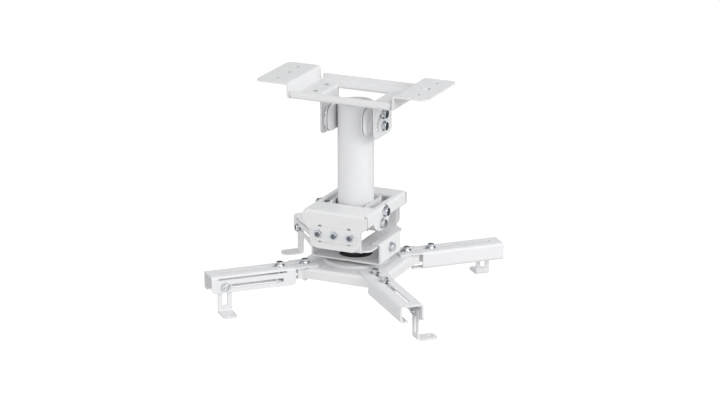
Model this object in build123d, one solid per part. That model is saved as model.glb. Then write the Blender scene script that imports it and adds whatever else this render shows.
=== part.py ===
from build123d import *
import os
from math import cos, degrees, radians, sin, sqrt

os.makedirs("parts", exist_ok=True)

# Ceiling mount for a projector. The origin is the middle of the face that lies
# on the ceiling, +Z points up, +X along the long side of the ceiling plate and
# -Y towards the front. Everything is in millimetres.

# Folded sheet and running gaps
sheet = 3.0
bend_in = 2.0
bend_out = bend_in + sheet
face_gap = 0.1
pin_gap = 0.05
hole_gap = 0.25
slot_gap = 0.3

# Heavy bolts: the tilt, pitch and slide locks
bolt_r = 4.0
bolt_across = 13.0
bolt_head = 5.3
bolt_nut = 6.5
bolt_washer_r = 8.4
bolt_washer_t = 1.6
heavy = (bolt_r, bolt_across, bolt_head, bolt_nut, bolt_washer_r, bolt_washer_t)

# Light bolts: the arms and feet
screw_r = 3.0
screw_across = 10.0
screw_head = 5.6
screw_nut = 5.0
screw_washer_r = 8.0
screw_washer_t = 1.4
light = (screw_r, screw_across, screw_head, screw_nut, screw_washer_r, screw_washer_t)
pan_head_r = 5.6
pan_head_h = 3.6
pan_washer_r = 7.1
tail = 2.0

# Ceiling plate: one folded sheet with two ears and a sunk pan
ear_x = 152.0
plate_half_y = 62.5
ear_corner = 11.0
riser_x = 92.0
pan_depth = 25.5
pan_wall_step = 4.5
pan_wall_top = 12.0
pan_slit = 2.5
ear_hole_x = 125.0
ear_hole_y = 38.0
ear_hole_r = 4.5
ear_middle_r = 6.5
pan_floor = -pan_depth + sheet
pan_wall_x = riser_x - pan_wall_step
window_front = 28.0
window_back = 30.0

# Tilt hinge at the ceiling
tilt_z = -70.7
lock_r = 20.2
tilt_lock_angle = 90.0
tilt_range = 90.0
tilt_slot_extra = 4.0

# Clevis brackets under the pan
clevis_in = 46.0
clevis_flange = 27.0
clevis_half_y = 33.5
clevis_below = 17.3
clevis_end = tilt_z - clevis_below
clevis_corner = 10.0
clevis_out = clevis_in + sheet
window_x = clevis_out + bend_in + 0.5
rivet_r = 2.5
rivet_head_r = 3.6
rivet_head_h = 1.2
rivet_y = 21.0
rivet_x = clevis_out + 13.0

# Pole and the bracket welded round its top
pole_r = 30.0
pole_wall = 2.5
pole_above = 35.3
pole_top = tilt_z + pole_above
weld_gap = 0.2
bracket_in = pole_r + weld_gap
bracket_out = bracket_in + sheet
upper_front = -45.0
upper_corner = 16.0
upper_below = 10.3
upper_bottom = tilt_z - upper_below
upper_web_from = 12.0
upper_web_drop = 9.6
sleeve_r = 5.6
sleeve_gap = 0.4

# Pitch frame: folded from one sheet, with a window for the pole
frame_x = 57.0
frame_front = -84.0
frame_back = 79.0
frame_top = -202.0
frame_side_h = 20.5
frame_side_end = frame_top - frame_side_h
frame_window_x = 46.5
frame_window_back_gap = 8.8
frame_window_back = bracket_out + frame_window_back_gap
tongue_inset = 12.5
tongue_x = frame_x - tongue_inset
tongue_h = 63.5
tongue_end = frame_top - tongue_h
tongue_corner = 15.0
shoulder_h = 21.0
shoulder_z = frame_top - shoulder_h
shoulder_slope = 0.84
shoulder_end = shoulder_z - shoulder_slope * tongue_inset
corner_gap = 3.0
corner_hole_r = 2.3
pitch_y = -22.0
pitch_below = 27.5
pitch_z = frame_top - pitch_below
pitch_lock_angle = 57.0
pitch_slot = 15.0
notch_r = 31.5
notch_w = 2.6
notch_from = 38.0
notch_to = 54.0
lobe_r = 38.5
lobe_below = 1.0
lobe_z = frame_top - lobe_below
frame_in = frame_x - sheet
front_in = frame_front + sheet
back_in = frame_back - sheet

# Bracket welded round the pole's lower end, inside the pitch frame
pole_below = 11.5
pole_end = pitch_z - pole_below
lower_front = -34.0
lower_above = 1.0
lower_top = frame_top + lower_above
lower_below = 15.5
lower_bottom = pitch_z - lower_below
lower_corner = 10.0
frame_window_front_gap = 1.6
frame_window_front = lower_front - frame_window_front_gap

# Roll bracket: a saddle that turns about the middle front screw
roll_below = 38.0
roll_z = frame_top - roll_below
roll_screw_x = 28.5
roll_range = 12.0
roll_slot = 24.0
roll_flange_x = 46.0
roll_flange_above = 18.0
roll_flange_top = roll_z + roll_flange_above
roll_flange_corner = 10.0
roll_back_x = 41.0
roll_web_front_step = 9.0
roll_web_front = front_in + roll_web_front_step
roll_web_back_step = 10.0
roll_web_back = back_in - roll_web_back_step
roll_web_corner = 12.0
roll_window_x = 22.0
roll_window_y = 40.0
roll_window_corner = 8.0
clamp_plate_x = 41.0
clamp_plate_r = 12.3
clamp_plate_t = 1.8
rail_half_y = 30.0
rail_depth = 18.5

# Slide channel that hangs on the saddle
channel_x = 62.5
channel_half_y = 40.0
channel_below = 20.5
channel_top = roll_z - channel_below
channel_h = 36.5
channel_end = channel_top - channel_h
channel_lip = 16.5
channel_bolt_drop = 15.5
channel_bolt_z = channel_top - channel_bolt_drop
channel_bolt_y = 0.5
web_side_gap = 0.3
channel_in = channel_x - sheet
channel_floor = channel_end + sheet
web_x = channel_in - web_side_gap
web_top = channel_top - sheet - face_gap
web_end = web_top - sheet

# Turntable between the channel and the spider
yaw_r = 8.0
yaw_across = 24.0
yaw_head = 9.0
yaw_nut = 12.0
yaw_washer_t = 0.8
yaw_plate_t = 3.0
dish_r = 27.5
dish_depth = 4.0
dish_edge = 1.5
dish_floor = channel_floor - dish_depth
felt_r = 25.0
felt_t = 0.9

# Spider plate, hung just below the dish
boss_r = 56.0
boss_top_r = 51.0
boss_h = 3.0
boss_top = dish_floor - sheet - face_gap - felt_t
spider_top = boss_top - boss_h
spider_half = 80.0
spider_depth = 17.8
spider_end = spider_top - spider_depth
leg_w = 15.0
leg_r = 107.0
tongue_w = 10.2
tongue_r = 150.0

# Arms, in a frame of their own: the origin is the inner bolt at the top face
arm_bolt_xy = 63.5
arm_bolt_pitch = 43.5
arm_w = 20.0
arm_in = -18.0
arm_wall_in = 22.0
arm_out = 167.0
arm_h = 29.0
arm_lip = 13.0
arm_lip_extra = 16.0
arm_wall_corner = 7.0
arm_slot_out = 151.0
swing_range = 5.0
side_slot_z = -18.5
side_slot_in = 43.0
side_slot_out = 150.0
light_slot_z = -5.3
light_slot_h = 3.2
light_slot_in = 37.0
light_slot_out = 155.5
arm_top = spider_top + sheet
sleeve_h = 15.5
arm_sleeve_r = 5.0

# Feet
foot_s = 143.7
foot_w = 23.6
foot_depth = 63.0
foot_top = 10.0
foot_reach = 50.0
foot_corner = 8.0
foot_hole_y = 40.5
foot_hole_r = 4.25
foot_slot_r = 4.5
foot_slot_top = -15.0
foot_slot_end = -47.0
foot_drops = (0.0, 0.0, 0.0, 4.0)


def block(x0, x1, y0, y1, z0, z1):
    middle = Pos((x0 + x1) / 2, (y0 + y1) / 2, (z0 + z1) / 2)
    return middle * Box(x1 - x0, y1 - y0, z1 - z0)


def rod_x(y, z, r, x0, x1):
    return Pos((x0 + x1) / 2, y, z) * Rot(0, 90, 0) * Cylinder(r, x1 - x0)


def rod_y(x, z, r, y0, y1):
    return Pos(x, (y0 + y1) / 2, z) * Rot(90, 0, 0) * Cylinder(r, y1 - y0)


def rod_z(x, y, r, z0, z1):
    return Pos(x, y, (z0 + z1) / 2) * Cylinder(r, z1 - z0)


def ring_z(r_in, r_out, z0, z1):
    return rod_z(0, 0, r_out, z0, z1) - rod_z(0, 0, r_in, z0 - 1, z1 + 1)


def along_x(sketch, x0, x1):
    return Pos((x0 + x1) / 2, 0, 0) * extrude(Plane.YZ * sketch, (x1 - x0) / 2, both=True)


def along_y(sketch, y0, y1):
    return Pos(0, (y0 + y1) / 2, 0) * extrude(Plane.XZ * sketch, (y1 - y0) / 2, both=True)


def along_z(sketch, z0, z1):
    return Pos(0, 0, (z0 + z1) / 2) * extrude(sketch, (z1 - z0) / 2, both=True)


def polygon(points):
    return make_face(Polyline(*points, close=True))


def round_at(sketch, point, r):
    corner = sketch.vertices().sort_by_distance(Vector(point[0], point[1], 0))[0]
    return fillet(corner, r)


# The section of a folded sheet: a path along one face, with the sheet on its
# left (side 1) or right (side -1), and a proper radius inside and outside
def folded(points, side):
    count = len(points)
    steps = []
    for i in range(count - 1):
        dx = points[i + 1][0] - points[i][0]
        dy = points[i + 1][1] - points[i][1]
        size = sqrt(dx * dx + dy * dy)
        steps.append((dx / size, dy / size))
    other = []
    for i in range(count):
        before = steps[max(i - 1, 0)]
        after = steps[min(i, count - 2)]
        nx = -side * (before[1] + after[1])
        ny = side * (before[0] + after[0])
        scale = 1 + before[0] * after[0] + before[1] * after[1]
        other.append((points[i][0] + nx * sheet / scale, points[i][1] + ny * sheet / scale))
    section = polygon(points + other[::-1])
    for i in range(1, count - 1):
        turn = steps[i - 1][0] * steps[i][1] - steps[i - 1][1] * steps[i][0]
        inner, outer = (other[i], points[i]) if turn * side > 0 else (points[i], other[i])
        section = round_at(section, inner, bend_in)
        section = round_at(section, outer, bend_out)
    return section


# A straight slot of half width r between two centres on the sketch plane
def slot(x0, y0, x1, y1, r):
    size = sqrt((x1 - x0) ** 2 + (y1 - y0) ** 2)
    nx = -(y1 - y0) / size * r
    ny = (x1 - x0) / size * r
    body = polygon([(x0 + nx, y0 + ny), (x1 + nx, y1 + ny), (x1 - nx, y1 - ny), (x0 - nx, y0 - ny)])
    return body + Pos(x0, y0) * Circle(r) + Pos(x1, y1) * Circle(r)


# A curved slot about a centre on the sketch plane, angles in degrees
def arc_slot(cx, cy, radius, start, end, r):
    outer = CenterArc((0, 0), radius + r, start, end - start)
    inner = CenterArc((0, 0), radius - r, start, end - start)
    first = Line(inner @ 0, outer @ 0)
    last = Line(inner @ 1, outer @ 1)
    body = make_face([outer, last, inner, first])
    for angle in (start, end):
        body += Pos(radius * cos(radians(angle)), radius * sin(radians(angle))) * Circle(r)
    return Pos(cx, cy) * body


def hex_block(across, height):
    prism = extrude(RegularPolygon(across / 2, 6, major_radius=False), height)
    crown = Cylinder(across * 0.58, height, align=(Align.CENTER, Align.CENTER, Align.MIN))
    crown = chamfer(crown.edges().group_by(Axis.Z)[-1], across * 0.07)
    return prism & crown


# A bolt along Z with its head up: the clamped stack runs from 0 down to -grip
def bolt_only(size, grip, with_nut):
    r, across, head, nut, washer_r, washer_t = size
    end = grip + washer_t + nut + tail if with_nut else grip
    return Pos(0, 0, washer_t) * hex_block(across, head) + rod_z(0, 0, r, -end, washer_t)


def bolt_set(size, grip):
    r, across, head, nut, washer_r, washer_t = size
    under = -grip - washer_t
    upper = ring_z(r + pin_gap, washer_r, 0, washer_t)
    lower = ring_z(r + pin_gap, washer_r, under, -grip)
    nut_body = Pos(0, 0, under) * Rot(180, 0, 0) * hex_block(across, nut)
    nut_body -= rod_z(0, 0, r + pin_gap, under - nut - 1, under + 1)
    return [bolt_only(size, grip, True), upper, lower, nut_body]


def pan_screw(grip, length):
    head = Cylinder(pan_head_r, pan_head_h, align=(Align.CENTER, Align.CENTER, Align.MIN))
    head = fillet(head.edges().group_by(Axis.Z)[-1], pan_head_h * 0.55)
    socket = extrude(RegularPolygon(2.0, 6, major_radius=False), pan_head_h * 0.6)
    head -= Pos(0, 0, pan_head_h * 0.5) * socket
    screw = Pos(0, 0, screw_washer_t) * head + rod_z(0, 0, screw_r, -length, screw_washer_t)
    washer = ring_z(screw_r + pin_gap, pan_washer_r, 0, screw_washer_t)
    nut_body = Pos(0, 0, -grip) * Rot(180, 0, 0) * hex_block(screw_across, screw_nut)
    nut_body -= rod_z(0, 0, screw_r + pin_gap, -grip - screw_nut - 1, -grip + 1)
    return [screw, washer, nut_body]


def group(solids):
    return Compound(children=[s for item in solids for s in item.solids()])


def place(location, solids):
    return [location * s for s in solids]


def ceiling_plate():
    path = [(-ear_x, 0), (-riser_x, 0), (-riser_x, pan_floor), (riser_x, pan_floor), (riser_x, 0), (ear_x, 0)]
    plate = along_y(folded(path, -1), -plate_half_y, plate_half_y)
    wall_in = plate_half_y - sheet
    fold = wall_in - bend_in
    slit_x = pan_wall_x + pan_slit
    for side in (-1, 1):
        y0, y1 = sorted((side * fold, side * (plate_half_y + 1)))
        plate -= block(-slit_x, slit_x, y0, y1, -pan_depth - 1, -pan_wall_top + 1)
    tray = [(-wall_in, -pan_wall_top), (-wall_in, pan_floor), (wall_in, pan_floor), (wall_in, -pan_wall_top)]
    plate += along_x(folded(tray, -1), -pan_wall_x, pan_wall_x)
    window = RectangleRounded(2 * window_x, window_front + window_back, 4)
    window = Pos(0, (window_back - window_front) / 2) * window
    plate -= along_z(window, -pan_depth - 1, pan_floor + 1)
    for side in (-1, 1):
        x0, x1 = sorted((side * (clevis_in - slot_gap), side * window_x))
        plate -= block(x0, x1, -clevis_half_y - slot_gap, clevis_half_y + slot_gap, -pan_depth - 1, pan_floor + 1)
    outline = RectangleRounded(2 * ear_x, 2 * plate_half_y, ear_corner)
    plate &= along_z(outline, -pan_depth - 1, 1)
    for x in (-ear_hole_x, ear_hole_x):
        plate -= rod_z(x, 0, ear_middle_r, -sheet - 1, 1)
        for y in (-ear_hole_y, ear_hole_y):
            plate -= rod_z(x, y, ear_hole_r, -sheet - 1, 1)
    for x in (-rivet_x, rivet_x):
        for y in (-rivet_y, rivet_y):
            plate -= rod_z(x, y, rivet_r + pin_gap, -pan_depth - 1, pan_floor + 1)
    return plate


def clevis(side):
    top = pan_floor + sheet
    path = [(side * (clevis_in + clevis_flange), top), (side * clevis_in, top), (side * clevis_in, clevis_end)]
    body = along_y(folded(path, side), -clevis_half_y, clevis_half_y)
    mask = RectangleRounded(2 * clevis_half_y, top - clevis_end + 2 * clevis_corner, clevis_corner)
    mask = Pos(0, (top + clevis_end) / 2 + clevis_corner) * mask
    body &= along_x(mask, -ear_x, ear_x)
    start = tilt_lock_angle - tilt_slot_extra
    end = tilt_lock_angle + tilt_range + tilt_slot_extra
    turn = arc_slot(0, tilt_z, lock_r, start, end, bolt_r + slot_gap)
    body -= along_x(turn, side * clevis_in - sheet * 2, side * clevis_in + sheet * 2)
    body -= rod_x(0, tilt_z, bolt_r + pin_gap, side * clevis_in - sheet * 2, side * clevis_in + sheet * 2)
    for y in (-rivet_y, rivet_y):
        body -= rod_z(side * rivet_x, y, rivet_r + pin_gap, pan_floor - 1, top + 1)
    return body


def rivet():
    top = pan_floor + sheet
    body = rod_z(0, 0, rivet_r, -pan_depth, top)
    for z, flip in ((top, 0), (-pan_depth, 180)):
        head = Cylinder(rivet_head_r, rivet_head_h, align=(Align.CENTER, Align.CENTER, Align.MIN))
        head = fillet(head.edges().group_by(Axis.Z)[-1], rivet_head_h * 0.7)
        body += Pos(0, 0, z) * Rot(flip, 0, 0) * head
    return body


def pole():
    body = rod_z(0, 0, pole_r, pole_end, pole_top) - rod_z(0, 0, pole_r - pole_wall, pole_end - 1, pole_top + 1)
    for y, z in bolt_lines():
        body -= rod_x(y, z, bolt_r + hole_gap, -pole_r - 1, pole_r + 1)
    return body


# Where a lock bolt sits round its hinge
def lock_spot(y, z, angle):
    return y + lock_r * cos(radians(angle)), z + lock_r * sin(radians(angle))


def bolt_lines():
    tilt_lock = lock_spot(0, tilt_z, tilt_lock_angle)
    return [(0, tilt_z), tilt_lock, (pitch_y, pitch_z), lock_spot(pitch_y, pitch_z, pitch_lock_angle)]


# The saddle round the pole at each end: two wings joined by a web behind it
def pole_bracket(front, low, high, corner, lines):
    back = bracket_out
    path = [(-bracket_in, front), (-bracket_in, bracket_in), (bracket_in, bracket_in), (bracket_in, front)]
    body = along_z(folded(path, 1), low, high)
    side = polygon([(front, low), (back + 1, low), (back + 1, high), (front, high)])
    side = round_at(side, (front, low), corner)
    side = round_at(side, (front, high), corner)
    body &= along_x(side, -bracket_out - 1, bracket_out + 1)
    for y, z in lines:
        body -= rod_x(y, z, bolt_r + hole_gap, -bracket_out - 1, bracket_out + 1)
    return body


# The upper bracket's web stays lower than the pole's rim
def upper_bracket():
    body = pole_bracket(upper_front, upper_bottom, pole_top, upper_corner, upper_lines)
    low = pole_top - upper_web_drop
    back = bracket_out + 1
    points = [(upper_web_from, pole_top), (upper_web_from, pole_top + 1), (back, pole_top + 1), (back, low)]
    points.append((upper_web_from + upper_web_drop, low))
    return body - along_x(polygon(points), -back, back)


# The through bolt from the right side to the left, with washers and a nut
def cross_bolt(line, half):
    return place(Pos(half, line[0], line[1]) * Rot(0, 90, 0), bolt_set(heavy, 2 * half))


def sleeves(lines, half):
    parts = []
    for y, z in lines:
        for side in (-1, 1):
            x0, x1 = sorted((side * bracket_out, side * half))
            tube = rod_x(y, z, sleeve_r, x0, x1) - rod_x(y, z, bolt_r + hole_gap, x0 - 1, x1 + 1)
            parts.append(tube)
    return parts


def tongue_outline():
    half = frame_x
    points = [(-half, frame_top), (half, frame_top), (half, shoulder_z), (tongue_x, shoulder_end)]
    points += [(tongue_x, tongue_end), (-tongue_x, tongue_end), (-tongue_x, shoulder_end), (-half, shoulder_z)]
    outline = polygon(points)
    for x in (-tongue_x, tongue_x):
        outline = round_at(outline, (x, tongue_end), tongue_corner)
    return outline


def side_outline():
    front = front_in + corner_gap
    back = back_in - corner_gap
    bar = polygon([(front, frame_side_end), (back, frame_side_end), (back, frame_top), (front, frame_top)])
    lobe = Pos(pitch_y, lobe_z) * Circle(lobe_r)
    low = polygon([(front, tongue_end), (back, tongue_end), (back, frame_top), (front, frame_top)])
    return bar + (lobe & low)


def pitch_frame():
    outer = block(-frame_x, frame_x, frame_front, frame_back, tongue_end, frame_top)
    outer = fillet(outer.faces().sort_by(Axis.Z)[-1].edges(), bend_out)
    inner = block(-frame_in, frame_in, front_in, back_in, tongue_end - 1, frame_top - sheet)
    inner = fillet(inner.faces().sort_by(Axis.Z)[-1].edges(), bend_in)
    body = outer - inner
    fold = frame_top - bend_out
    ends = along_y(tongue_outline(), frame_front - 1, front_in) + along_y(tongue_outline(), back_in, frame_back + 1)
    sides = along_x(side_outline(), -frame_x - 1, frame_x + 1)
    roof = block(-frame_x - 1, frame_x + 1, frame_front - 1, frame_back + 1, fold, frame_top + 1)
    body &= roof + ends + sides
    for x in (-frame_in, frame_in):
        for y in (front_in, back_in):
            body -= rod_z(x, y, corner_hole_r, fold - 1, frame_top + 1)
    for y in (front_in + corner_gap / 2, back_in - corner_gap / 2):
        body -= block(frame_in - bend_in, frame_x + 1, y - corner_gap / 2, y + corner_gap / 2, fold - 1, frame_top + 1)
        body -= block(-frame_x - 1, bend_in - frame_in, y - corner_gap / 2, y + corner_gap / 2, fold - 1, frame_top + 1)
    size_y = frame_window_back - frame_window_front
    window = RectangleRounded(2 * frame_window_x, size_y, 4)
    window = Pos(0, (frame_window_back + frame_window_front) / 2) * window
    body -= along_z(window, frame_top - sheet - 1, frame_top + 1)
    body -= rod_x(pitch_y, pitch_z, bolt_r + pin_gap, -frame_x - 1, frame_x + 1)
    low = pitch_lock_angle - pitch_slot
    high = pitch_lock_angle + pitch_slot
    body -= along_x(arc_slot(pitch_y, pitch_z, lock_r, low, high, bolt_r + slot_gap), -frame_x - 1, frame_x + 1)
    notch = arc_slot(pitch_y, pitch_z, notch_r, notch_from, notch_to, notch_w)
    for x0, x1 in ((-frame_x - 1, -frame_in + bend_in), (frame_in - bend_in, frame_x + 1)):
        body -= along_x(notch, x0, x1)
    body -= rod_y(0, roll_z, screw_r + pin_gap, frame_front - 1, frame_back + 1)
    half = roll_slot / 2
    for x in (-roll_screw_x, roll_screw_x):
        turn = 180 if x < 0 else 0
        span = degrees(half / roll_screw_x)
        curve = arc_slot(0, roll_z, roll_screw_x, turn - span, turn + span, screw_r + slot_gap)
        body -= along_y(curve, frame_front - 1, front_in + 1)
    return body


def roll_bracket():
    front = front_in + face_gap
    back = back_in - face_gap
    path = [(front, roll_flange_top), (front, web_end), (back, web_end), (back, roll_flange_top)]
    body = along_x(folded(path, 1), -roll_flange_x, roll_flange_x)
    half = roll_flange_x
    mask = polygon([(-half, web_end - 1), (half, web_end - 1), (half, roll_flange_top), (-half, roll_flange_top)])
    for x in (-half, half):
        mask = round_at(mask, (x, roll_flange_top), roll_flange_corner)
    body &= along_y(mask, front - 1, back + 1)
    for side in (-1, 1):
        x0, x1 = sorted((side * roll_back_x, side * (half + 1)))
        body -= block(x0, x1, back - bend_out, back + 1, web_end - 1, roll_flange_top + 1)
    web = RectangleRounded(2 * (channel_in - bend_in), roll_web_back - roll_web_front, roll_web_corner)
    web = Pos(0, (roll_web_back + roll_web_front) / 2) * web
    body += along_z(web, web_end, web_top)
    body -= along_z(RectangleRounded(2 * roll_window_x, 2 * roll_window_y, roll_window_corner), web_end - 1, web_top + 1)
    for side in (-1, 1):
        root = side * (web_x - bend_out - 2)
        x0, x1 = sorted((root, side * web_x))
        body -= block(x0, x1, -rail_half_y, rail_half_y, web_end - 1, web_top + 1)
        rail = [(root, web_top), (side * web_x, web_top), (side * web_x, web_top - rail_depth)]
        body += along_y(folded(rail, -side), -rail_half_y, rail_half_y)
    for x in (-roll_screw_x, 0, roll_screw_x):
        body -= rod_y(x, roll_z, screw_r + pin_gap, front - 1, front + sheet + 1)
    body -= rod_y(0, roll_z, screw_r + pin_gap, back - sheet - 1, back + 1)
    return body


def clamp_plate():
    reach = clamp_plate_x - clamp_plate_r
    body = along_y(slot(-reach, roll_z, reach, roll_z, clamp_plate_r), clamp_back() - clamp_plate_t, clamp_back())
    for x in (-roll_screw_x, 0, roll_screw_x):
        body -= rod_y(x, roll_z, screw_r + pin_gap, clamp_back() - clamp_plate_t - 1, clamp_back() + 1)
    return body


def clamp_back():
    return frame_front - face_gap


def roll_screws():
    seat = clamp_back() - clamp_plate_t
    inner = front_in + face_gap + sheet
    parts = []
    for x in (-roll_screw_x, 0, roll_screw_x):
        grip = inner - seat
        parts += place(Pos(x, seat, roll_z) * Rot(90, 0, 0), pan_screw(grip, grip + screw_nut + tail))
    return parts


def rear_roll_screw():
    seat = frame_back + face_gap
    grip = seat - (back_in - face_gap - sheet)
    return place(Pos(0, seat, roll_z) * Rot(-90, 0, 0), pan_screw(grip, grip + screw_nut + tail))


def slide_channel():
    lip = channel_x - channel_lip
    path = [(lip, channel_top), (channel_x, channel_top), (channel_x, channel_end), (-channel_x, channel_end)]
    path += [(-channel_x, channel_top), (-lip, channel_top)]
    body = along_y(folded(path, -1), -channel_half_y, channel_half_y)
    body -= rod_z(0, 0, dish_r + sheet, channel_end - 1, channel_floor + 1)
    body += dish() - rod_z(0, 0, yaw_r + hole_gap, dish_floor - sheet - 1, dish_floor + 1)
    body -= rod_x(channel_bolt_y, channel_bolt_z, bolt_r + pin_gap, channel_in - 1, channel_x + 1)
    return body


# The round dish pressed down into the channel's floor, which holds the turntable's nut
def dish():
    outer = rod_z(0, 0, dish_r + sheet, dish_floor - sheet, channel_floor)
    outer = fillet(outer.edges().group_by(Axis.Z)[0], bend_out - sheet)
    inner = rod_z(0, 0, dish_r, dish_floor, channel_floor)
    flare = Cylinder(dish_r + dish_edge, dish_edge, align=(Align.CENTER, Align.CENTER, Align.MAX))
    ring = Torus(dish_r + dish_edge, dish_edge)
    flare = Pos(0, 0, channel_floor) * flare - Pos(0, 0, channel_floor - dish_edge) * ring
    return outer - inner - flare


def side_bolt():
    grip = channel_x - web_x - face_gap
    washer = ring_z(bolt_r + pin_gap, bolt_washer_r, 0, bolt_washer_t)
    parts = [bolt_only(heavy, grip, False), washer]
    return place(Pos(channel_x, channel_bolt_y, channel_bolt_z) * Rot(0, 90, 0), parts)


def yaw_bolt():
    under = boss_top - sheet - face_gap
    washer_top = dish_floor + yaw_washer_t
    head_top = under - yaw_plate_t
    shank_top = washer_top + yaw_nut + tail
    head = Pos(0, 0, head_top) * Rot(180, 0, 0) * hex_block(yaw_across, yaw_head)
    bolt = head + rod_z(0, 0, yaw_r, head_top, shank_top)
    nut = Pos(0, 0, washer_top) * hex_block(yaw_across, yaw_nut)
    nut -= rod_z(0, 0, yaw_r + pin_gap, washer_top - 1, washer_top + yaw_nut + 1)
    lower = ring_z(yaw_r + pin_gap, yaw_across * 0.7, head_top, under)
    return [bolt, nut, lower]


def yaw_washer():
    return ring_z(yaw_r + hole_gap, dish_r - hole_gap, dish_floor, dish_floor + yaw_washer_t)


def friction_ring():
    return ring_z(yaw_r + pin_gap, felt_r, boss_top, dish_floor - sheet - face_gap)


def spider_outline(half, w, r):
    points = []
    turn = sqrt(0.5)
    bend = half / turn - w
    for k in range(4):
        a = radians(90 * k)
        for along, off in ((bend, -w), (r, -w), (r, w), (bend, w)):
            x = turn * (along - off)
            y = turn * (along + off)
            points.append((x * cos(a) - y * sin(a), x * sin(a) + y * cos(a)))
    return polygon(points)


# The top edges of the spider, without the open ends of its four legs
def closed_edges(body):
    edges = body.faces().sort_by(Axis.Z)[-1].edges()
    return [e for e in edges if Vector((e @ 0.5).X, (e @ 0.5).Y, 0).length < leg_r - 0.5]


def on_legs(shape):
    return [Rot(0, 0, 45 + 90 * k) * shape for k in range(4)]


def spider():
    body = along_z(spider_outline(spider_half, leg_w, leg_r), spider_end, spider_top)
    body = fillet(closed_edges(body), bend_out)
    inner = along_z(spider_outline(spider_half - sheet, leg_w - sheet, leg_r + 1), spider_end - 1, spider_top - sheet)
    body -= fillet(closed_edges(inner), bend_in)
    bolt_line = arm_bolt_xy / sqrt(0.5)
    tongue = block(leg_r - 12, tongue_r, -tongue_w, tongue_w, spider_top - sheet, spider_top)
    tongue = fillet(tongue.edges().filter_by(Axis.Z).sort_by(Axis.X)[-2:], tongue_w * 0.6)
    for piece in on_legs(tongue):
        body += piece
    low = spider_top - sheet
    body -= rod_z(0, 0, boss_top_r - sheet, low - 1, spider_top + 1)
    hole = rod_z(bolt_line, 0, screw_r + pin_gap, low - 1, spider_top + 1)
    curve = arc_slot(bolt_line, 0, arm_bolt_pitch, -swing_range - 1.5, swing_range + 1.5, screw_r + slot_gap)
    curve = along_z(curve, low - 1, spider_top + 1)
    for cut in on_legs(hole) + on_legs(curve):
        body -= cut
    return body


# The raised middle of the spider, a disc that covers the hole in its plate
def spider_boss():
    disc = Pos(0, 0, spider_top + boss_h / 2) * Cone(boss_r, boss_top_r, boss_h)
    return disc - rod_z(0, 0, yaw_r + pin_gap, spider_top - 1, boss_top + 1)


def arm_frame(k):
    line = 45 + 90 * k
    r = arm_bolt_xy / sqrt(0.5)
    return Pos(r * cos(radians(line)), r * sin(radians(line)), arm_top) * Rot(0, 0, line)


# One arm: a folded channel whose roof reaches inwards as a fork round the bolts
def arm():
    path = [(-arm_w + arm_lip, -arm_h), (-arm_w, -arm_h), (-arm_w, 0), (arm_w, 0), (arm_w, -arm_h)]
    body = along_x(folded(path, -1), arm_wall_in, arm_out)
    body += block(arm_in, arm_wall_in + bend_out, -arm_w, arm_w, -sheet, 0) - block(
        arm_wall_in, arm_wall_in + bend_out + 1, -arm_w - 1, arm_w + 1, -sheet - 1, 1)
    body += block(arm_wall_in - arm_lip_extra, arm_wall_in + 1, -arm_w + bend_out, -arm_w + arm_lip, -arm_h, -arm_h + sheet)
    wall_y0 = arm_w - sheet - 1
    mask = polygon([(arm_wall_in, -arm_h), (arm_out, -arm_h), (arm_out, 0), (arm_wall_in, 0)])
    mask = round_at(mask, (arm_wall_in, -arm_h), arm_wall_corner)
    mask = round_at(mask, (arm_out, -arm_h), arm_wall_corner)
    keep = along_y(mask, wall_y0, arm_w + 1)
    wall_zone = block(arm_wall_in - 1, arm_out + 1, wall_y0, arm_w + 1, -arm_h - 1, -bend_out)
    body -= wall_zone - keep
    r = screw_r + slot_gap
    body -= along_z(slot(arm_in - 2 * r, 0, arm_slot_out - r, 0, r), -sheet - 1, 1)
    body -= along_y(slot(side_slot_in + r, side_slot_z, side_slot_out - r, side_slot_z, r), wall_y0, arm_w + 1)
    h = light_slot_h / 2
    body -= along_y(slot(light_slot_in + h, light_slot_z, light_slot_out - h, light_slot_z, h), wall_y0, arm_w + 1)
    return body


# The two bolts that hold an arm, with the sleeves that carry their nuts
def arm_bolts():
    parts = []
    under = sheet + sheet + face_gap
    for x in (0, arm_bolt_pitch):
        parts += place(Pos(x, 0, face_gap), bolt_set(light, under + face_gap + sleeve_h))
        parts.append(Pos(x, 0, -under) * ring_z(screw_r + hole_gap, arm_sleeve_r, -sleeve_h, 0))
    return parts


def foot():
    leg_out = arm_w - sheet - face_gap
    path = [(leg_out, -foot_top), (leg_out, -foot_depth + sheet), (foot_reach, -foot_depth + sheet)]
    body = along_x(folded(path, -1), foot_s - foot_w / 2, foot_s + foot_w / 2)
    tip = body.edges().filter_by(Axis.Z).sort_by(Axis.Y)[-2:]
    body = fillet(tip, foot_corner)
    body -= along_y(slot(foot_s, foot_slot_top, foot_s, foot_slot_end, foot_slot_r), leg_out - sheet - 1, leg_out + 1)
    body -= rod_z(foot_s, foot_hole_y, foot_hole_r, -foot_depth - 1, -foot_depth + sheet + 1)
    return body


def foot_screw():
    seat = arm_w + face_gap
    grip = 2 * sheet + 3 * face_gap
    return place(Pos(foot_s, seat, side_slot_z) * Rot(-90, 0, 0), pan_screw(grip, grip + screw_nut + tail))


def save(name, shape):
    export_step(shape, "parts/" + name + ".step")


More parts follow.
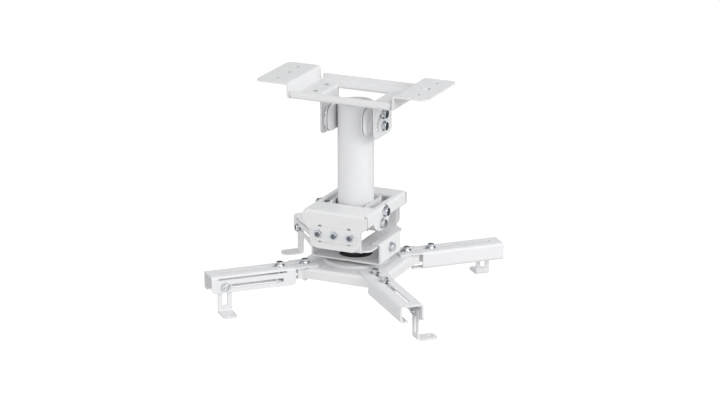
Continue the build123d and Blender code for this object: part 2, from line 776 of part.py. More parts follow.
upper_lines = bolt_lines()[:2]
lower_lines = bolt_lines()[2:]
save("ceiling_plate", ceiling_plate())
save("clevis_left", clevis(-1))
save("clevis_right", clevis(1))
rivets = [Pos(x, y, 0) * rivet() for x in (-rivet_x, rivet_x) for y in (-rivet_y, rivet_y)]
save("clevis_rivets", group(rivets))
save("pole", pole())
save("upper_bracket", upper_bracket())
save("lower_bracket", pole_bracket(lower_front, lower_bottom, lower_top, lower_corner, lower_lines))
save("upper_sleeves", group(sleeves(upper_lines, clevis_in - face_gap)))
save("lower_sleeves", group(sleeves(lower_lines, frame_in - sleeve_gap)))
save("tilt_bolt", group(cross_bolt(upper_lines[0], clevis_out + face_gap)))
save("tilt_lock_bolt", group(cross_bolt(upper_lines[1], clevis_out + face_gap)))
save("pitch_bolt", group(cross_bolt(lower_lines[0], frame_x + face_gap)))
save("pitch_lock_bolt", group(cross_bolt(lower_lines[1], frame_x + face_gap)))
save("pitch_frame", pitch_frame())
save("roll_bracket", roll_bracket())
save("roll_clamp_plate", clamp_plate())
save("roll_screws", group(roll_screws()))
save("rear_roll_screw", group(rear_roll_screw()))
save("slide_channel", slide_channel())
save("slide_lock_bolt", group(side_bolt()))
save("yaw_bolt", group(yaw_bolt()))
save("yaw_washer", yaw_washer())
save("friction_ring", friction_ring())
save("spider", spider())
save("spider_boss", spider_boss())
corners = ("back_right", "back_left", "front_left", "front_right")
for k, corner in enumerate(corners):
    spot = arm_frame(k)
    save("arm_" + corner, spot * arm())
    save("arm_bolts_" + corner, group(place(spot, arm_bolts())))
    save("foot_" + corner, spot * Pos(0, 0, -foot_drops[k]) * foot())
    save("foot_screw_" + corner, group(place(spot, foot_screw())))
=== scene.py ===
import math

import bpy
from mathutils import Matrix, Vector


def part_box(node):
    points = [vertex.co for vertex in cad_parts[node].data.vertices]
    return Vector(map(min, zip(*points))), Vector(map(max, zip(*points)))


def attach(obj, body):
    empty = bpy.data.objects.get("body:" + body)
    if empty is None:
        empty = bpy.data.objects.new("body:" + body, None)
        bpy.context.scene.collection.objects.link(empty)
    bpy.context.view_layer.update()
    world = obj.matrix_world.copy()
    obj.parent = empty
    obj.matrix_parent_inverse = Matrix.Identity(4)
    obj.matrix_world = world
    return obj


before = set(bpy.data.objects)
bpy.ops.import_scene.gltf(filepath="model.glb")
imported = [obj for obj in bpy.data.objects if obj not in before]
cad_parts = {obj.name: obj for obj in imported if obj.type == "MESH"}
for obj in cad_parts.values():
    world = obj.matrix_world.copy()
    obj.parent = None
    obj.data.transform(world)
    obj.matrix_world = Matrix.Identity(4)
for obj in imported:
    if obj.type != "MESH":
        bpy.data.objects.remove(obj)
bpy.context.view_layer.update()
corners = ("back_right", "back_left", "front_left", "front_right")
print("frame loaded:", len(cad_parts), "nodes")


# Small helpers for node trees
def addNode(tree, kind, x=0, y=0, **settings):
    node = tree.nodes.new(kind)
    node.location = (x, y)
    for name, value in settings.items():
        setattr(node, name, value)
    return node


def newTree(name, kind, inputs, outputs):
    tree = bpy.data.node_groups.new(name, kind)
    for label, socketType, value in inputs:
        socket = tree.interface.new_socket(name=label, in_out="INPUT", socket_type=socketType)
        if value is not None:
            socket.default_value = value
    for label, socketType in outputs:
        tree.interface.new_socket(name=label, in_out="OUTPUT", socket_type=socketType)
    start = addNode(tree, "NodeGroupInput", -900, 0)
    end = addNode(tree, "NodeGroupOutput", 900, 0)
    return tree, start, end


def mathNode(tree, operation, x, y, first, second=None, clamp=False):
    node = addNode(tree, "ShaderNodeMath", x, y, operation=operation, use_clamp=clamp)
    for index, value in enumerate((first, second)):
        if value is None:
            continue
        if isinstance(value, (int, float)):
            node.inputs[index].default_value = value
        else:
            tree.links.new(value, node.inputs[index])
    return node.outputs[0]


# Shader groups that more than one finish uses
def makeEdgeGroup():
    # finds the sheet's edges and corners, and gives a normal that rounds them off
    tree, start, end = newTree("softEdges", "ShaderNodeTree",
                               [("Radius", "NodeSocketFloat", 0.0008), ("Gain", "NodeSocketFloat", 3.0)],
                               [("Mask", "NodeSocketFloat"), ("Normal", "NodeSocketVector")])
    bevel = addNode(tree, "ShaderNodeBevel", -500, 100, samples=6)
    tree.links.new(start.outputs["Radius"], bevel.inputs["Radius"])
    geometry = addNode(tree, "ShaderNodeNewGeometry", -500, -150)
    dot = addNode(tree, "ShaderNodeVectorMath", -250, 0, operation="DOT_PRODUCT")
    tree.links.new(bevel.outputs["Normal"], dot.inputs[0])
    tree.links.new(geometry.outputs["Normal"], dot.inputs[1])
    away = mathNode(tree, "SUBTRACT", 0, 0, 1.0, dot.outputs["Value"])
    gained = mathNode(tree, "MULTIPLY", 200, 0, away, start.outputs["Gain"], clamp=True)
    tree.links.new(gained, end.inputs["Mask"])
    tree.links.new(bevel.outputs["Normal"], end.inputs["Normal"])
    return tree


def makeCreaseGroup():
    # a painted-shade mask for gaps, holes and corners, 1 in the open and 0 deep in a gap
    tree, start, end = newTree("creaseShade", "ShaderNodeTree",
                               [("Distance", "NodeSocketFloat", 0.005), ("Depth", "NodeSocketFloat", 0.55)],
                               [("Open", "NodeSocketFloat")])
    nook = addNode(tree, "ShaderNodeAmbientOcclusion", -500, 0, samples=8)
    tree.links.new(start.outputs["Distance"], nook.inputs["Distance"])
    spread = addNode(tree, "ShaderNodeMapRange", -200, 0, interpolation_type="SMOOTHSTEP")
    tree.links.new(nook.outputs["AO"], spread.inputs["Value"])
    spread.inputs["From Min"].default_value = 0.0
    tree.links.new(start.outputs["Depth"], spread.inputs["From Max"])
    tree.links.new(spread.outputs["Result"], end.inputs["Open"])
    return tree


peelShape = {"fineShare": 0.75, "slowShare": 0.5, "toneShare": 0.8, "dotSize": 1400.0, "dotRadius": 0.11}


def makePeelGroup():
    # the skin of a sprayed and baked powder coat: fine peel, a wider wave and a little speckle
    tree, start, end = newTree("powderPeel", "ShaderNodeTree",
                               [("Vector", "NodeSocketVector", None), ("Peel Size", "NodeSocketFloat", 900.0),
                                ("Wave Size", "NodeSocketFloat", 70.0), ("Speckle", "NodeSocketFloat", 0.5)],
                               [("Height", "NodeSocketFloat"), ("Tone", "NodeSocketFloat"),
                                ("Rough", "NodeSocketFloat")])
    peel = addNode(tree, "ShaderNodeTexNoise", -500, 300)
    peel.inputs["Detail"].default_value = 2.0
    peel.inputs["Roughness"].default_value = 0.45
    wave = addNode(tree, "ShaderNodeTexNoise", -500, 0)
    wave.inputs["Detail"].default_value = 3.0
    cells = addNode(tree, "ShaderNodeTexVoronoi", -500, -300)
    cells.inputs["Scale"].default_value = peelShape["dotSize"]
    for node in (peel, wave, cells):
        tree.links.new(start.outputs["Vector"], node.inputs["Vector"])
    tree.links.new(start.outputs["Peel Size"], peel.inputs["Scale"])
    tree.links.new(start.outputs["Wave Size"], wave.inputs["Scale"])
    fine = mathNode(tree, "MULTIPLY", -200, 250, peel.outputs["Fac"], peelShape["fineShare"])
    slow = mathNode(tree, "MULTIPLY", -200, 50, wave.outputs["Fac"], peelShape["slowShare"])
    height = mathNode(tree, "ADD", 0, 200, fine, slow)
    dots = mathNode(tree, "LESS_THAN", -250, -300, cells.outputs["Distance"], peelShape["dotRadius"])
    dots = mathNode(tree, "MULTIPLY", -50, -300, dots, start.outputs["Speckle"])
    cloud = mathNode(tree, "MULTIPLY", 0, -100, wave.outputs["Fac"], peelShape["toneShare"])
    tone = mathNode(tree, "ADD", 200, -100, cloud, dots)
    tree.links.new(height, end.inputs["Height"])
    tree.links.new(tone, end.inputs["Tone"])
    tree.links.new(height, end.inputs["Rough"])
    return tree


def makePlatingGroup():
    # zinc plating on turned and pressed steel: cloudy tone and fine drawn lines
    tree, start, end = newTree("platedGrain", "ShaderNodeTree",
                               [("Vector", "NodeSocketVector", None), ("Cloud Size", "NodeSocketFloat", 260.0),
                                ("Line Size", "NodeSocketFloat", 2200.0)],
                               [("Cloud", "NodeSocketFloat"), ("Lines", "NodeSocketFloat")])
    cloud = addNode(tree, "ShaderNodeTexNoise", -450, 150)
    cloud.inputs["Detail"].default_value = 4.0
    lines = addNode(tree, "ShaderNodeTexNoise", -450, -150)
    lines.inputs["Detail"].default_value = 1.0
    squeeze = addNode(tree, "ShaderNodeMapping", -700, -150)
    squeeze.inputs["Scale"].default_value = (1.0, 0.12, 0.12)
    tree.links.new(start.outputs["Vector"], cloud.inputs["Vector"])
    tree.links.new(start.outputs["Vector"], squeeze.inputs["Vector"])
    tree.links.new(squeeze.outputs["Vector"], lines.inputs["Vector"])
    tree.links.new(start.outputs["Cloud Size"], cloud.inputs["Scale"])
    tree.links.new(start.outputs["Line Size"], lines.inputs["Scale"])
    tree.links.new(cloud.outputs["Fac"], end.inputs["Cloud"])
    tree.links.new(lines.outputs["Fac"], end.inputs["Lines"])
    return tree


edgeGroup = makeEdgeGroup()
creaseGroup = makeCreaseGroup()
peelGroup = makePeelGroup()
platingGroup = makePlatingGroup()


def useGroup(tree, group, x, y, **values):
    node = addNode(tree, "ShaderNodeGroup", x, y)
    node.node_tree = group
    for name, value in values.items():
        node.inputs[name.replace("_", " ")].default_value = value
    return node


def colourRamp(tree, x, y, factor, stops):
    ramp = addNode(tree, "ShaderNodeValToRGB", x, y)
    elements = ramp.color_ramp.elements
    elements[0].position, elements[0].color = stops[0][0], (*stops[0][1], 1)
    elements[1].position, elements[1].color = stops[-1][0], (*stops[-1][1], 1)
    for position, colour in stops[1:-1]:
        elements.new(position).color = (*colour, 1)
    tree.links.new(factor, ramp.inputs["Fac"])
    return ramp.outputs["Color"]


def ranged(tree, x, y, value, low, high, fromLow=0.3, fromHigh=0.7):
    node = addNode(tree, "ShaderNodeMapRange", x, y)
    node.inputs["From Min"].default_value = fromLow
    node.inputs["From Max"].default_value = fromHigh
    node.inputs["To Min"].default_value = low
    node.inputs["To Max"].default_value = high
    tree.links.new(value, node.inputs["Value"])
    return node.outputs["Result"]


def newMaterial(name):
    material = bpy.data.materials.new(name)
    material.use_nodes = True
    tree = material.node_tree
    shader = tree.nodes["Principled BSDF"]
    coords = addNode(tree, "ShaderNodeTexCoord", -1200, 0)
    return material, tree, shader, coords.outputs["Object"]


def mixColour(tree, x, y, factor, first, second):
    # first and second are each a socket or a plain colour
    mix = addNode(tree, "ShaderNodeMix", x, y, data_type="RGBA")
    tree.links.new(factor, mix.inputs["Factor"])
    for name, value in (("A", first), ("B", second)):
        if isinstance(value, tuple):
            mix.inputs[name].default_value = (*value, 1)
        else:
            tree.links.new(value, mix.inputs[name])
    return mix.outputs["Result"]


def bumpUp(tree, shader, height, depth, normal=None, strength=0.4):
    bump = addNode(tree, "ShaderNodeBump", -300, -250)
    bump.inputs["Strength"].default_value = strength
    bump.inputs["Distance"].default_value = depth
    tree.links.new(height, bump.inputs["Height"])
    if normal:
        tree.links.new(normal, bump.inputs["Normal"])
    tree.links.new(bump.outputs["Normal"], shader.inputs["Normal"])


def splitUp(tree, x, y, vector):
    parts = addNode(tree, "ShaderNodeSeparateXYZ", x, y)
    tree.links.new(vector, parts.inputs[0])
    return parts.outputs


def facingNormal(tree):
    return addNode(tree, "ShaderNodeTexCoord", -1200, -1300).outputs["Normal"]


def nearSpots(tree, where, keep, spots):
    # 1 near any of the spots; keep is 0 along the axis that doesn't count
    flat = addNode(tree, "ShaderNodeVectorMath", -1000, -800, operation="MULTIPLY")
    tree.links.new(where, flat.inputs[0])
    flat.inputs[1].default_value = keep
    mask = None
    for row, (spot, radius) in enumerate(spots):
        gap = addNode(tree, "ShaderNodeVectorMath", -800, -800 - 200 * row, operation="DISTANCE")
        tree.links.new(flat.outputs[0], gap.inputs[0])
        gap.inputs[1].default_value = spot
        near = mathNode(tree, "LESS_THAN", -600, -800 - 200 * row, gap.outputs["Value"], radius)
        mask = near if mask is None else mathNode(tree, "MAXIMUM", -400, -800 - 200 * row, mask, near)
    return mask


# Values of each finish
coat = {
    "deep": (0.780, 0.783, 0.791),
    "pale": (0.796, 0.798, 0.804),
    # painted highlight: colour of the rounded sheet edges, lighter than the coat
    "edge": (0.835, 0.836, 0.842),
    # painted shade deep in gaps, holes and corners
    "nook": (0.16, 0.165, 0.175),
    "roughLow": 0.37,
    "roughHigh": 0.43,
    "peelSize": 900.0,
    "peelDepth": 0.000018,
    "speckle": 0.12,
    "edgeRadius": 0.0006,
    "edgeGain": 1.5,
    "nookReach": 0.0045,
    "nookDepth": 0.55,
    "glaze": 1.47,
    "plainTint": (1, 1, 1),
}
pole = {"tint": (0.985, 0.987, 0.99), "peelSize": 720.0}
arms = {"tint": (1.0, 1.0, 1.005), "peelSize": 1035.0}
earHoles = {
    "x": 0.125,
    "spots": ((0.038, 0.0045), (0.0, 0.0065)),
    "slack": 0.0001,
    # painted shade on the walls of the ear holes
    "colour": (0.42, 0.43, 0.44),
    "towardLamp": 0.15,
    "awayFromLamp": 0.95,
}
wings = {
    "webFrom": 0.027,
    "shadeBand": 0.0015,
    # painted light: the wings' coat is made lighter, to lift the shade between the clevises and the pole
    "tint": (1.06, 1.06, 1.06),
    # painted shade: the near-black colour of the wings' cut edges
    "colour": (0.085, 0.09, 0.1),
    "nookReach": 0.001,
}
rivets = {"colour": (0.42, 0.43, 0.44)}
zinc = {
    "dark": (0.50, 0.53, 0.56),
    "light": (0.80, 0.82, 0.85),
    "roughLow": 0.13,
    "roughHigh": 0.27,
    "lineDepth": 0.00002,
    "edgeRadius": 0.0003,
    "edgeGain": 3.0,
}
sleeves = {**zinc, "dark": (0.42, 0.44, 0.46), "light": (0.68, 0.7, 0.72), "roughLow": 0.28, "roughHigh": 0.42}
# painted reflection and shade: the dark middle of the three front screw heads
headReflection = {"radius": 0.0046, "aside": 0.0008, "colour": (0.19, 0.21, 0.23)}
friction = {
    "dark": (0.014, 0.014, 0.015),
    "light": (0.045, 0.045, 0.047),
    "roughLow": 0.75,
    "roughHigh": 0.95,
    "cloudSize": 700.0,
    "grainDepth": 0.0001,
}


def holeWalls(tree, where):
    # painted shade on the walls of the screw holes in the two ears, up to 1 there and least on the side toward the
    # key lamp
    mirrored = addNode(tree, "ShaderNodeVectorMath", -1200, -800, operation="ABSOLUTE")
    tree.links.new(where, mirrored.inputs[0])
    spots = [((earHoles["x"], y, 0), radius + earHoles["slack"]) for y, radius in earHoles["spots"]]
    inside = nearSpots(tree, mirrored.outputs[0], (1, 1, 0), spots)
    toward = splitUp(tree, -1000, -1300, facingNormal(tree))["X"]
    shaded = ranged(tree, -400, -1300, toward, earHoles["awayFromLamp"], earHoles["towardLamp"], -0.6, 0.3)
    return mathNode(tree, "MULTIPLY", 0, -900, inside, shaded)


def leftHalf(tree, where):
    # 1 on the rivets of the left clevis, which are made darker
    return mathNode(tree, "LESS_THAN", -800, -800, splitUp(tree, -1000, -800, where)["X"], 0.0)


def cutEdges(tree, where):
    # painted shade: 1 on the cut edges of the two wings, on the half of the sheet that lies to the right
    across = mathNode(tree, "ABSOLUTE", -800, -800, splitUp(tree, -1000, -800, facingNormal(tree))["X"])
    place = splitUp(tree, -1000, -1000, where)
    ahead = mathNode(tree, "LESS_THAN", -800, -1000, place["Y"], wings["webFrom"])
    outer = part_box("upper_bracket")[1][0]
    beyond = mathNode(tree, "SUBTRACT", -600, -1200, mathNode(tree, "ABSOLUTE", -800, -1200, place["X"]),
                      outer - wings["shadeBand"])
    toRight = mathNode(tree, "MULTIPLY", -450, -1200, beyond, place["X"])
    half = mathNode(tree, "GREATER_THAN", -300, -1200, toRight, 0.0)
    edge = mathNode(tree, "LESS_THAN", -650, -800, across, 0.5)
    shadedEdge = mathNode(tree, "MULTIPLY", -500, -800, edge, ahead)
    return mathNode(tree, "MULTIPLY", -100, -1000, shadedEdge, half)


def makeCoat(name, peelSize, tint, marks=None, markColour=None, nookReach=coat["nookReach"]):
    material, tree, shader, where = newMaterial(name)
    peel = useGroup(tree, peelGroup, -900, 100, Peel_Size=peelSize, Speckle=coat["speckle"])
    tree.links.new(where, peel.inputs["Vector"])
    edges = useGroup(tree, edgeGroup, -900, -250, Radius=coat["edgeRadius"], Gain=coat["edgeGain"])
    nooks = useGroup(tree, creaseGroup, -900, -500, Distance=nookReach, Depth=coat["nookDepth"])
    deep = tuple(a * b for a, b in zip(coat["deep"], tint))
    pale = tuple(a * b for a, b in zip(coat["pale"], tint))
    body = colourRamp(tree, -600, 250, peel.outputs["Tone"], [(0.25, deep), (0.6, pale)])
    # the rounded edges are made lighter, a painted highlight
    edgeLit = mixColour(tree, -250, 250, edges.outputs["Mask"], body, coat["edge"])
    # painted shade: gaps, holes and corners darken towards the nook colour
    colour = mixColour(tree, -50, 300, nooks.outputs["Open"], coat["nook"], edgeLit)
    if marks:
        colour = mixColour(tree, 100, 400, marks(tree, where), colour, markColour)
    tree.links.new(colour, shader.inputs["Base Color"])
    rough = ranged(tree, -500, 0, peel.outputs["Rough"], coat["roughLow"], coat["roughHigh"], 0.4, 0.85)
    tree.links.new(rough, shader.inputs["Roughness"])
    bumpUp(tree, shader, peel.outputs["Height"], coat["peelDepth"], edges.outputs["Normal"])
    shader.inputs["IOR"].default_value = coat["glaze"]
    return material


def screwHeads(tree, where):
    # 1 in the middle of the three front screw heads, where a dark reflection and shade are painted
    low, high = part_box("roll_screws")
    middleX, middleZ = (low[0] + high[0]) / 2, (low[2] + high[2]) / 2
    spread = (high[0] - low[0] - high[2] + low[2]) / 2
    spots = [((middleX + k * spread + headReflection["aside"], 0, middleZ), headReflection["radius"]) for k in (-1, 0, 1)]
    return nearSpots(tree, where, (1, 0, 1), spots)


def makeZinc(name, spec, marks=None, markColour=None):
    material, tree, shader, where = newMaterial(name)
    grain = useGroup(tree, platingGroup, -900, 100)
    tree.links.new(where, grain.inputs["Vector"])
    edges = useGroup(tree, edgeGroup, -900, -250, Radius=spec["edgeRadius"], Gain=spec["edgeGain"])
    stops = [(0.35, spec["dark"]), (0.62, spec["light"])]
    colour = colourRamp(tree, -550, 250, grain.outputs["Cloud"], stops)
    if marks:
        colour = mixColour(tree, -200, 400, marks(tree, where), colour, markColour)
    tree.links.new(colour, shader.inputs["Base Color"])
    rough = ranged(tree, -500, 0, grain.outputs["Lines"], spec["roughLow"], spec["roughHigh"])
    tree.links.new(rough, shader.inputs["Roughness"])
    bumpUp(tree, shader, grain.outputs["Lines"], spec["lineDepth"], edges.outputs["Normal"])
    shader.inputs["Metallic"].default_value = 1.0
    return material


def makeFriction(name, spec):
    # pressed fibre ring, black and dusty
    material, tree, shader, where = newMaterial(name)
    grain = useGroup(tree, platingGroup, -900, 100, Cloud_Size=spec["cloudSize"])
    tree.links.new(where, grain.inputs["Vector"])
    stops = [(0.3, spec["dark"]), (0.7, spec["light"])]
    tree.links.new(colourRamp(tree, -550, 250, grain.outputs["Cloud"], stops), shader.inputs["Base Color"])
    rough = ranged(tree, -500, 0, grain.outputs["Cloud"], spec["roughLow"], spec["roughHigh"])
    tree.links.new(rough, shader.inputs["Roughness"])
    bumpUp(tree, shader, grain.outputs["Cloud"], spec["grainDepth"], strength=1.0)
    return material


coatSheet = makeCoat("coatSheet", coat["peelSize"], coat["plainTint"])
coatPlate = makeCoat("coatPlate", coat["peelSize"], coat["plainTint"], holeWalls, earHoles["colour"])
# coatWings: painted light on the wing faces and painted shade on their cut edges
coatWings = makeCoat("coatWings", coat["peelSize"], wings["tint"], cutEdges, wings["colour"], wings["nookReach"])
coatRivets = makeCoat("coatRivets", coat["peelSize"], coat["plainTint"], leftHalf, rivets["colour"])
coatPole = makeCoat("coatPole", pole["peelSize"], pole["tint"])
coatArm = makeCoat("coatArm", arms["peelSize"], arms["tint"])
zincBolt = makeZinc("zincBolt", zinc)
zincHeadReflection = makeZinc("zincHeadReflection", zinc, screwHeads, headReflection["colour"])
zincSleeve = makeZinc("zincSleeve", sleeves)
frictionRing = makeFriction("frictionFibre", friction)
print("finishes made")


# Every part of the frame gets its finish
finishes = {
    coatPlate: ["ceiling_plate"],
    coatWings: ["upper_bracket"],
    coatRivets: ["clevis_rivets"],
    coatSheet: ["clevis_left", "clevis_right", "lower_bracket", "pitch_frame", "roll_bracket",
                "roll_clamp_plate", "slide_channel", "spider", "spider_boss"],
    coatPole: ["pole"],
    coatArm: ["arm_" + c for c in corners] + ["foot_" + c for c in corners],
    zincBolt: ["tilt_bolt", "tilt_lock_bolt", "pitch_bolt", "pitch_lock_bolt", "rear_roll_screw",
               "slide_lock_bolt", "yaw_bolt"]
    + ["arm_bolts_" + c for c in corners] + ["foot_screw_" + c for c in corners],
    zincHeadReflection: ["roll_screws"],
    zincSleeve: ["upper_sleeves", "lower_sleeves"],
    frictionRing: ["friction_ring", "yaw_washer"],
}
for material, names in finishes.items():
    for name in names:
        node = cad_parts[name]
        for slot in node.material_slots:
            slot.material = material
print("finishes laid on")


# Screw threads where a bolt stands out of its nut
threads = {
    "heavy": {"radius": 0.0040, "pitch": 0.00125, "length": 0.0020},
    "light": {"radius": 0.0030, "pitch": 0.0010, "length": 0.0020},
    "turntable": {"radius": 0.0080, "pitch": 0.0020, "length": 0.0020},
    # half height of the ridge, and how deep it sits, as shares of the pitch
    "ridge": 0.34,
    "sink": 0.10,
    "stepsPerTurn": 28,
}


def makeThreadTree():
    # one ridge wound round each bolt's tip, from a point and the way the bolt leaves
    tree, start, end = newTree("threadRidges", "GeometryNodeTree",
                               [("Geometry", "NodeSocketGeometry", None), ("Bolt Radius", "NodeSocketFloat", 0.004),
                                ("Pitch", "NodeSocketFloat", 0.00125), ("Length", "NodeSocketFloat", 0.002),
                                ("Ridge", "NodeSocketFloat", 0.0004), ("Material", "NodeSocketMaterial", None)],
                               [("Geometry", "NodeSocketGeometry")])
    turns = mathNode(tree, "DIVIDE", -650, -200, start.outputs["Length"], start.outputs["Pitch"])
    spiral = addNode(tree, "GeometryNodeCurveSpiral", -400, -150)
    spiral.inputs["Resolution"].default_value = threads["stepsPerTurn"]
    tree.links.new(turns, spiral.inputs["Rotations"])
    tree.links.new(start.outputs["Bolt Radius"], spiral.inputs["Start Radius"])
    tree.links.new(start.outputs["Bolt Radius"], spiral.inputs["End Radius"])
    tree.links.new(start.outputs["Length"], spiral.inputs["Height"])
    profile = addNode(tree, "GeometryNodeCurvePrimitiveCircle", -400, -400)
    profile.inputs["Resolution"].default_value = 4
    tree.links.new(start.outputs["Ridge"], profile.inputs["Radius"])
    sweep = addNode(tree, "GeometryNodeCurveToMesh", -150, -200)
    sweep.inputs["Fill Caps"].default_value = True
    tree.links.new(spiral.outputs["Curve"], sweep.inputs["Curve"])
    tree.links.new(profile.outputs["Curve"], sweep.inputs["Profile Curve"])
    along = addNode(tree, "GeometryNodeInputNamedAttribute", -400, 150, data_type="FLOAT_VECTOR")
    along.inputs["Name"].default_value = "along"
    turn = addNode(tree, "FunctionNodeAlignRotationToVector", -150, 150, axis="Z")
    tree.links.new(along.outputs["Attribute"], turn.inputs["Vector"])
    place = addNode(tree, "GeometryNodeInstanceOnPoints", 100, 0)
    tree.links.new(start.outputs["Geometry"], place.inputs["Points"])
    tree.links.new(sweep.outputs["Mesh"], place.inputs["Instance"])
    tree.links.new(turn.outputs["Rotation"], place.inputs["Rotation"])
    real = addNode(tree, "GeometryNodeRealizeInstances", 350, 0)
    tree.links.new(place.outputs["Instances"], real.inputs["Geometry"])
    dress = addNode(tree, "GeometryNodeSetMaterial", 600, 0)
    tree.links.new(real.outputs["Geometry"], dress.inputs["Geometry"])
    tree.links.new(start.outputs["Material"], dress.inputs["Material"])
    tree.links.new(dress.outputs["Geometry"], end.inputs["Geometry"])
    return tree


def bakeTree(name, points, ways, tree, values):
    # runs a tree on a few points, and keeps the result as a plain mesh
    seed = bpy.data.meshes.new(name + "Points")
    seed.from_pydata([tuple(p) for p in points], [], [])
    along = seed.attributes.new("along", "FLOAT_VECTOR", "POINT")
    for index, way in enumerate(ways):
        along.data[index].vector = tuple(way)
    holder = bpy.data.objects.new(name + "Holder", seed)
    bpy.context.scene.collection.objects.link(holder)
    modifier = holder.modifiers.new("tree", "NODES")
    modifier.node_group = tree
    for item in tree.interface.items_tree:
        if item.item_type == "SOCKET" and item.in_out == "INPUT" and item.name in values:
            modifier[item.identifier] = values[item.name]
    graph = bpy.context.evaluated_depsgraph_get()
    mesh = bpy.data.meshes.new_from_object(holder.evaluated_get(graph))
    holder.modifiers.remove(modifier)
    bpy.data.objects.remove(holder)
    mesh.name = name
    piece = bpy.data.objects.new(name, mesh)
    bpy.context.scene.collection.objects.link(piece)
    return piece


threadTree = makeThreadTree()


def makeThreads(name, body, size, tips):
    # tips: where each bolt ends, and the way it points
    spec = threads[size]
    ways = [Vector(way).normalized() for tip, way in tips]
    points = [Vector(tip) - way * spec["length"] for (tip, _), way in zip(tips, ways)]
    ridge = spec["pitch"] * threads["ridge"]
    piece = bakeTree(name, points, ways, threadTree, {
        "Bolt Radius": spec["radius"] - spec["pitch"] * threads["sink"], "Pitch": spec["pitch"],
        "Length": spec["length"], "Ridge": ridge, "Material": zincBolt})
    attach(piece, body)


def middle(low, high):
    return [(a + b) / 2 for a, b in zip(low, high)]


def crossTip(node):
    low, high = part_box(node)
    centre = middle(low, high)
    return ((low[0], centre[1], centre[2]), (-1, 0, 0))


makeThreads("pole_threads", "pole", "heavy",
            [crossTip(n) for n in ("tilt_bolt", "tilt_lock_bolt", "pitch_bolt", "pitch_lock_bolt")])
low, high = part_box("roll_screws")
centre = middle(low, high)
spread = (high[0] - low[0]) / 2 - (high[2] - low[2]) / 2
rollTips = [((centre[0] + k * spread, high[1], centre[2]), (0, 1, 0)) for k in (-1, 0, 1)]
low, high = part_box("rear_roll_screw")
centre = middle(low, high)
rollTips.append(((centre[0], low[1], centre[2]), (0, -1, 0)))
makeThreads("roll_threads", "roll", "light", rollTips)
low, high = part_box("yaw_bolt")
makeThreads("turntable_thread", "channel", "turntable", [((0, 0, high[2]), (0, 0, 1))])
armBolts = {"inner": 0.0898, "pitch": 0.0435}
footScrews = {"along": 0.1437, "aside": 0.0068, "height": -0.3205}
for number, corner in enumerate(corners):
    turn = math.radians(45 + 90 * number)
    out = Vector((math.cos(turn), math.sin(turn), 0))
    left = Vector((-out.y, out.x, 0))
    low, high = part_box("arm_bolts_" + corner)
    first = out * armBolts["inner"]
    tips = [((p.x, p.y, low[2]), (0, 0, -1)) for p in (first, first + out * armBolts["pitch"])]
    makeThreads("arm_threads_" + corner, "clamp_" + corner, "light", tips)
    tip = out * (armBolts["inner"] + footScrews["along"]) + left * footScrews["aside"]
    tip.z = footScrews["height"]
    makeThreads("foot_threads_" + corner, "foot_" + corner, "light", [(tip, -left)])
print("threads wound")


# Camera at the photograph's angle
camera = {
    "azimuth": 24.66,
    "elevation": 17.64,
    "distance": 4.874,
    "aside": 0.0067,
    "above": -0.1983,
    "focal": 3000 / 720 * 36,
}
azimuth, elevation = math.radians(camera["azimuth"]), math.radians(camera["elevation"])
back = Vector((math.sin(azimuth) * math.cos(elevation), -math.cos(azimuth) * math.cos(elevation),
               math.sin(elevation)))
right = Vector((math.cos(azimuth), math.sin(azimuth), 0))
up = back.cross(right)
lens = bpy.data.cameras.new("photoCamera")
lens.lens = camera["focal"]
lens.sensor_width = 36
lens.clip_end = 60
eye = bpy.data.objects.new("photoCamera", lens)
eye.matrix_world = Matrix.Translation(right * camera["aside"] + up * camera["above"] + back * camera["distance"]) \
    @ Matrix((right, up, back)).transposed().to_4x4()
bpy.context.scene.collection.objects.link(eye)
bpy.context.scene.camera = eye
print("camera set")


# Floor, world and lamps
studio = {
    "floorZ": -0.9,
    "floorSize": 60.0,
    "floorGlow": 0.80,
    "floorColour": 0.30,
    "floorBounce": 0.69,
    "ambientSide": 1.20,
    "ambientTop": 0.70,
    "keyPower": 32.5,
    "keySize": (1.6, 1.6),
    "keyPlace": (2.6, -0.6, 1.3),
    "fillPower": 5.0,
    "fillSize": (2.0, 1.6),
    "fillPlace": (-1.2, -2.6, 0.9),
    "lampAim": (0, 0, -0.2),
    "waves": 7.0,
    "waveDepth": 0.12,
    "cards": [(0.02, (0.15, 0.18, 0.19)), (0.10, (0.055, 0.068, 0.073)), (0.30, (0.09, 0.105, 0.11)),
              (0.46, (0.35, 0.38, 0.39)), (0.60, (1, 1, 1))],
}


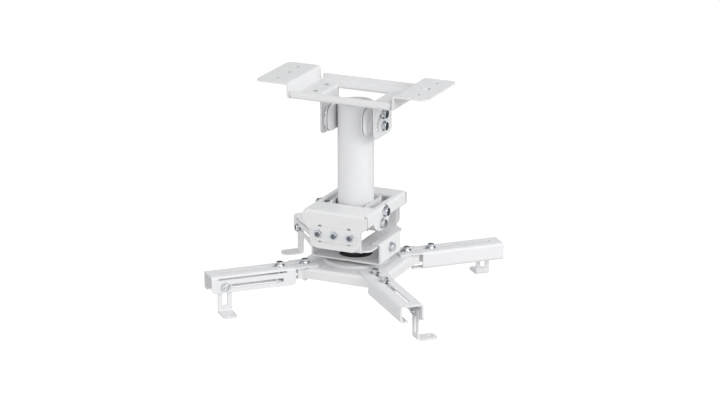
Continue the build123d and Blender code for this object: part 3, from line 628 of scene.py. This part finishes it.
def makeFloor():
    half = studio["floorSize"] / 2
    mesh = bpy.data.meshes.new("studioFloor")
    z = studio["floorZ"]
    mesh.from_pydata([(-half, -half, z), (half, -half, z), (half, half, z), (-half, half, z)], [], [(0, 1, 2, 3)])
    floor = bpy.data.objects.new("studioFloor", mesh)
    bpy.context.scene.collection.objects.link(floor)
    material = bpy.data.materials.new("studioFloorPaint")
    material.use_nodes = True
    tree = material.node_tree
    tree.nodes.clear()
    end = addNode(tree, "ShaderNodeOutputMaterial", 600, 0)
    path = addNode(tree, "ShaderNodeLightPath", -600, 200)
    plain = addNode(tree, "ShaderNodeBsdfDiffuse", -300, -150)
    plain.inputs["Color"].default_value = (*(studio["floorBounce"],) * 3, 1)
    shade = addNode(tree, "ShaderNodeBsdfDiffuse", -300, -300)
    shade.inputs["Color"].default_value = (*(studio["floorColour"],) * 3, 1)
    glow = addNode(tree, "ShaderNodeEmission", -300, 0)
    glow.inputs["Strength"].default_value = studio["floorGlow"]
    both = addNode(tree, "ShaderNodeAddShader", 0, 0)
    tree.links.new(glow.outputs[0], both.inputs[0])
    tree.links.new(shade.outputs[0], both.inputs[1])
    mix = addNode(tree, "ShaderNodeMixShader", 150, 0)
    tree.links.new(path.outputs["Is Camera Ray"], mix.inputs[0])
    tree.links.new(plain.outputs[0], mix.inputs[1])
    tree.links.new(both.outputs[0], mix.inputs[2])
    # polished metal looks through the floor at the cards of the world, and so does a camera from below
    through = addNode(tree, "ShaderNodeBsdfTransparent", 150, -200)
    last = addNode(tree, "ShaderNodeMixShader", 400, 0)
    side = addNode(tree, "ShaderNodeNewGeometry", -600, -200)
    below = mathNode(tree, "MULTIPLY", -100, 300, side.outputs["Backfacing"], path.outputs["Is Camera Ray"])
    seenThrough = mathNode(tree, "MAXIMUM", 50, 300, below, path.outputs["Is Glossy Ray"])
    tree.links.new(seenThrough, last.inputs[0])
    tree.links.new(mix.outputs[0], last.inputs[1])
    tree.links.new(through.outputs[0], last.inputs[2])
    tree.links.new(last.outputs[0], end.inputs["Surface"])
    mesh.materials.append(material)


def makeWorld():
    world = bpy.data.worlds.new("studioWorld")
    world.use_nodes = True
    tree = world.node_tree
    tree.nodes.clear()
    end = addNode(tree, "ShaderNodeOutputWorld", 700, 0)
    path = addNode(tree, "ShaderNodeLightPath", -700, 300)
    where = addNode(tree, "ShaderNodeTexCoord", -900, -100)
    split = addNode(tree, "ShaderNodeSeparateXYZ", -700, -100)
    tree.links.new(where.outputs["Generated"], split.inputs[0])
    # dark cards behind the set, white ones in front, which only polished metal picks up
    phase = mathNode(tree, "MULTIPLY", -500, -100, split.outputs["X"], studio["waves"])
    wave = mathNode(tree, "SINE", -350, -100, phase)
    nearness = addNode(tree, "ShaderNodeMath", -350, -300, operation="MULTIPLY_ADD")
    tree.links.new(split.outputs["Y"], nearness.inputs[0])
    nearness.inputs[1].default_value = -0.5
    nearness.inputs[2].default_value = 0.5
    sway = mathNode(tree, "MULTIPLY", -250, -100, wave, studio["waveDepth"])
    swayed = mathNode(tree, "ADD", -180, -200, sway, nearness.outputs[0], clamp=True)
    cards = colourRamp(tree, -50, -100, swayed, studio["cards"])
    # the room is lighter near the horizon than overhead
    level = addNode(tree, "ShaderNodeMapRange", -100, 300)
    level.inputs["To Min"].default_value = studio["ambientSide"]
    level.inputs["To Max"].default_value = studio["ambientTop"]
    tree.links.new(split.outputs["Z"], level.inputs["Value"])
    light = addNode(tree, "ShaderNodeBackground", 150, 200)
    light.inputs["Color"].default_value = (1, 1, 1, 1)
    tree.links.new(level.outputs["Result"], light.inputs["Strength"])
    gloss = addNode(tree, "ShaderNodeBackground", 150, 0)
    tree.links.new(cards, gloss.inputs["Color"])
    white = addNode(tree, "ShaderNodeBackground", 150, -200)
    white.inputs["Color"].default_value = (1, 1, 1, 1)
    first = addNode(tree, "ShaderNodeMixShader", 350, 100)
    tree.links.new(path.outputs["Is Glossy Ray"], first.inputs[0])
    tree.links.new(light.outputs[0], first.inputs[1])
    tree.links.new(gloss.outputs[0], first.inputs[2])
    second = addNode(tree, "ShaderNodeMixShader", 520, 0)
    tree.links.new(path.outputs["Is Camera Ray"], second.inputs[0])
    tree.links.new(first.outputs[0], second.inputs[1])
    tree.links.new(white.outputs[0], second.inputs[2])
    tree.links.new(second.outputs[0], end.inputs["Surface"])
    bpy.context.scene.world = world


def makeLamp(name, place, size, power):
    data = bpy.data.lights.new(name, "AREA")
    data.shape = "RECTANGLE"
    data.size, data.size_y = size
    data.energy = power
    lamp = bpy.data.objects.new(name, data)
    lamp.location = place
    lamp.rotation_euler = (Vector(studio["lampAim"]) - Vector(place)).to_track_quat("-Z", "Y").to_euler()
    bpy.context.scene.collection.objects.link(lamp)


makeFloor()
makeWorld()
makeLamp("keyLamp", studio["keyPlace"], studio["keySize"], studio["keyPower"])
makeLamp("fillLamp", studio["fillPlace"], studio["fillSize"], studio["fillPower"])
bpy.context.scene.view_settings.view_transform = "Standard"
print("studio lit")
